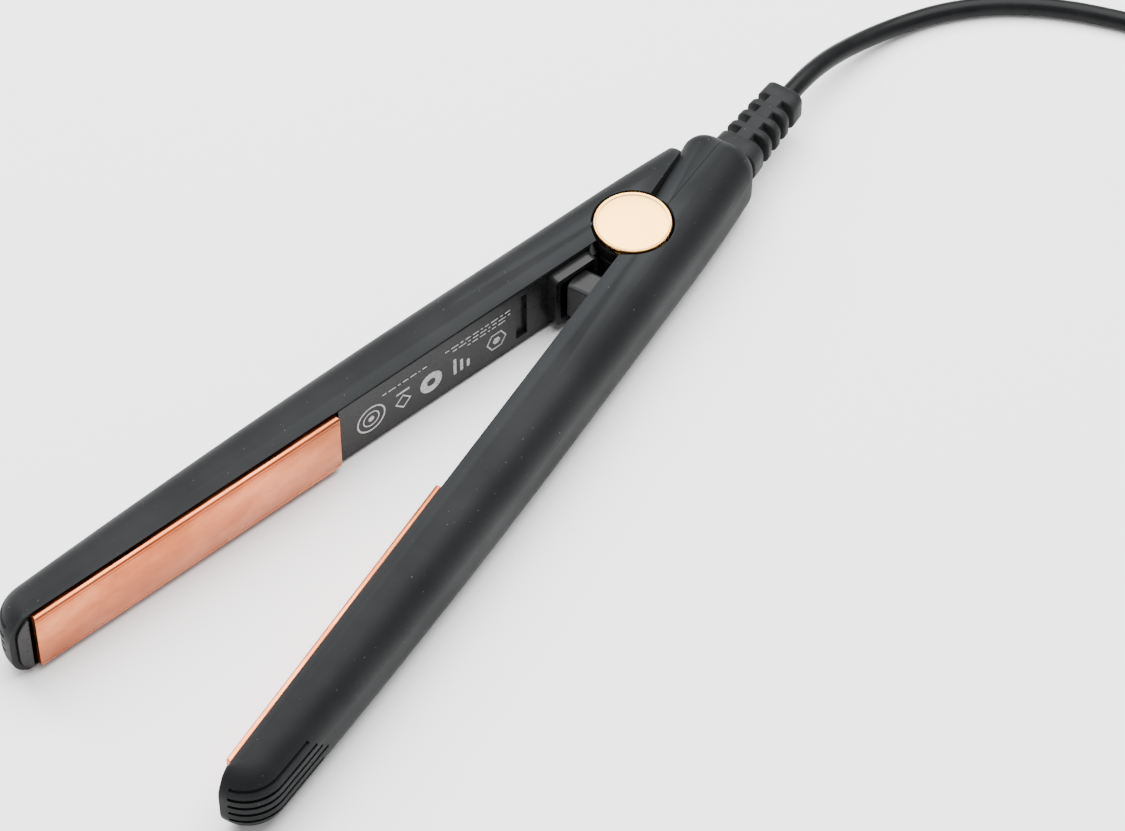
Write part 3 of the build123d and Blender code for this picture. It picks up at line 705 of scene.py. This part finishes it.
def add_plug(material):
    """Moulded plug: ringed strain relief, a flared body with finger grips and a raised face rim."""
    bm = bmesh.new()
    rings = [plug_ring(0.0, 3.0, 3.0, ROUND_CORNER)]
    for k in range(PLUG_RINGS):
        start = 0.4 + RING_PITCH * k
        size = 3.5 + 1.2 * k / (PLUG_RINGS - 1)
        waist = size - RING_DEPTH
        for along, half in ((0.0, size), (1.5, size), (1.7, waist), (2.4, waist)):
            rings.append(plug_ring(start + along, half, half, ROUND_CORNER))
    rings += [plug_ring(PLUG_RELIEF + out, wide, high) for out, wide, high in PLUG_BODY]
    loft_rings(bm, rings)
    for side in (-1, 1):
        for k in range(GRIPS):
            x = PLUG_MOUTH.x + PLUG_RELIEF + GRIP_FROM + GRIP_PITCH * k
            depth = 9.0 + 0.42 * k
            section = rounded_section(GRIP_HALF, GRIP_REACH, 0.5, 4)
            high = PLUG_MOUTH.z + side * depth
            loft_rings(bm, [
                [(x + a, PLUG_MOUTH.y + b, high - side * 2.0) for a, b in section],
                [(x + a, PLUG_MOUTH.y + b, high + side * 0.15) for a, b in section],
                [(x + 0.6 * a, PLUG_MOUTH.y + 0.94 * b, high + side * 0.4) for a, b in section],
            ])
    return mesh_piece("moulded_plug", bm, FIXED, material, ["plug_body"], smooth_angle=35)


# ---------------------------------------------------------------- tie
TIE_WIDE = 9.0
TIE_THICK = 0.9
TIE_CORNER = 3.0
TIE_INNER_CORNER = 2.2


def add_tie(material):
    """A strap once round the coil's turns."""
    low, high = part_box("cord_tie")
    centre = (low + high) / 2 / MM
    half_x = (high.x - low.x) / 2 / MM
    half_z = (high.z - low.z) / 2 / MM
    bm = bmesh.new()
    outer = rounded_section(half_x, half_z, TIE_CORNER, 6)
    inner = rounded_section(half_x - TIE_THICK, half_z - TIE_THICK, TIE_INNER_CORNER, 6)
    count = len(outer)
    sides = []
    for y in (-TIE_WIDE / 2, TIE_WIDE / 2):
        for section in (outer, inner):
            sides.append([bm.verts.new((centre.x + a, centre.y + y, centre.z + b)) for a, b in section])
    front_out, front_in, back_out, back_in = sides
    for k in range(count):
        n = (k + 1) % count
        bm.faces.new((front_out[k], front_out[n], back_out[n], back_out[k]))
        bm.faces.new((front_in[k], back_in[k], back_in[n], front_in[n]))
        bm.faces.new((front_out[k], front_in[k], front_in[n], front_out[n]))
        bm.faces.new((back_out[k], back_out[n], back_in[n], back_in[k]))
    return mesh_piece("coil_strap", bm, FIXED, material, ["cord_tie"], smooth_angle=40)


# ---------------------------------------------------------------- printed marks
PANEL_Y = 1.7
INK = 0.03


def on_panel(x, z, lift=0.0):
    """A place on the moving arm's inner panel, with the arm swung open."""
    turn = math.radians(-OPEN_ANGLE)
    y = -(PANEL_Y - lift)
    return (x * math.cos(turn) - y * math.sin(turn), x * math.sin(turn) + y * math.cos(turn), z)


def ink_strip(bm, outer, inner):
    """A flat printed band between two outlines of equal count; each point is (x, z)."""
    count = len(outer)
    levels = []
    for lift in (0.0, INK):
        levels.append([[bm.verts.new(on_panel(x, z, lift)) for x, z in line] for line in (outer, inner)])
    (out_low, in_low), (out_high, in_high) = levels
    for k in range(count):
        n = (k + 1) % count
        bm.faces.new((out_high[k], out_high[n], in_high[n], in_high[k]))
        bm.faces.new((out_low[k], out_low[n], out_high[n], out_high[k]))
        bm.faces.new((in_low[n], in_low[k], in_high[k], in_high[n]))
        bm.faces.new((in_low[k], in_low[n], out_low[n], out_low[k]))


def ink_patch(bm, outline):
    """A solid printed patch."""
    low = [bm.verts.new(on_panel(x, z)) for x, z in outline]
    high = [bm.verts.new(on_panel(x, z, INK)) for x, z in outline]
    bm.faces.new(high)
    bm.faces.new(low[::-1])
    for k in range(len(low)):
        n = (k + 1) % len(low)
        bm.faces.new((low[k], low[n], high[n], high[k]))


def ring_outline(x, z, radius, sides=40, start=0.0):
    return [
        (x + radius * math.cos(start + 2 * math.pi * k / sides),
         z + radius * math.sin(start + 2 * math.pi * k / sides))
        for k in range(sides)
    ]


def box_outline(x, z, half_wide, half_high, corner):
    return [(x + a, z + b) for a, b in rounded_section(half_wide, half_high, corner, 4)]


def ink_ring(bm, x, z, radius, width, sides=40, start=0.0):
    ink_strip(bm, ring_outline(x, z, radius, sides, start), ring_outline(x, z, radius - width, sides, start))


DASH_ROWS = [                        # height, from x, to x
    (14.9, 34.5, 53.5),
    (13.7, 34.5, 50.5),
    (12.5, 36.0, 47.0),
    (14.5, 58.5, 71.5),
]
DASHES = [1.6, 0.8, 2.1, 1.2, 0.6, 1.8]
DASH_GAP = 0.55
DASH_HALF_HIGH = 0.16


def add_marks(material):
    """Plain printed shapes and rows of dashes where such a panel carries its print."""
    bm = bmesh.new()
    ink_ring(bm, 74.4, 9.2, 4.0, 0.42)
    ink_ring(bm, 74.4, 9.2, 2.3, 0.3)
    ink_patch(bm, ring_outline(74.4, 9.2, 0.8, 20))
    ink_patch(bm, box_outline(65.4, 11.3, 1.9, 0.3, 0.15))
    ink_strip(bm, ring_outline(65.4, 8.0, 2.3, 4), ring_outline(65.4, 8.0, 1.8, 4))
    ink_strip(bm, ring_outline(57.4, 8.2, 3.1), ring_outline(57.4, 8.2, 1.2))
    for x, high in ((50.6, 2.6), (48.7, 1.9), (46.8, 1.2)):
        ink_patch(bm, box_outline(x, 5.4 + high, 0.42, high, 0.3))
    ink_ring(bm, 38.6, 7.6, 2.9, 0.4, 6)
    ink_patch(bm, ring_outline(38.6, 7.6, 1.1, 6))
    for row, (z, start, end) in enumerate(DASH_ROWS):
        x = start
        step = row
        while x < end:
            length = DASHES[step % len(DASHES)]
            ink_patch(bm, box_outline(x + length / 2, z, length / 2, DASH_HALF_HIGH, 0.12))
            x += length + DASH_GAP
            step += 1
    return mesh_piece("printed_marks", bm, MOVING, material)


# ---------------------------------------------------------------- build
add_camera()
add_studio()
MATERIALS = make_materials()
for entry in frame["record"]["subparts"]:
    node = frame["nodes"][entry["node"]]
    node.data.materials.clear()
    node.data.materials.append(MATERIALS[entry["material_slot"]])

cord = add_cord(MATERIALS["cord"])
relief = add_strain_relief(MATERIALS["gland_rubber"])
plug = add_plug(MATERIALS["plug"])
tie = add_tie(MATERIALS["tie"])
add_marks(screen_print())
add_plate("coated_plate_fixed", "plate_on_fixed_arm", "plate_fixed", False, MATERIALS["plate_coating"])
add_plate("coated_plate_moving", "plate_on_moving_arm", "plate_moving", True, MATERIALS["plate_coating"])
add_cap("trim_cap_upper", "cap_upper", 1, MATERIALS["cap"])
add_cap("trim_cap_lower", "cap_lower", -1, MATERIALS["cap"])
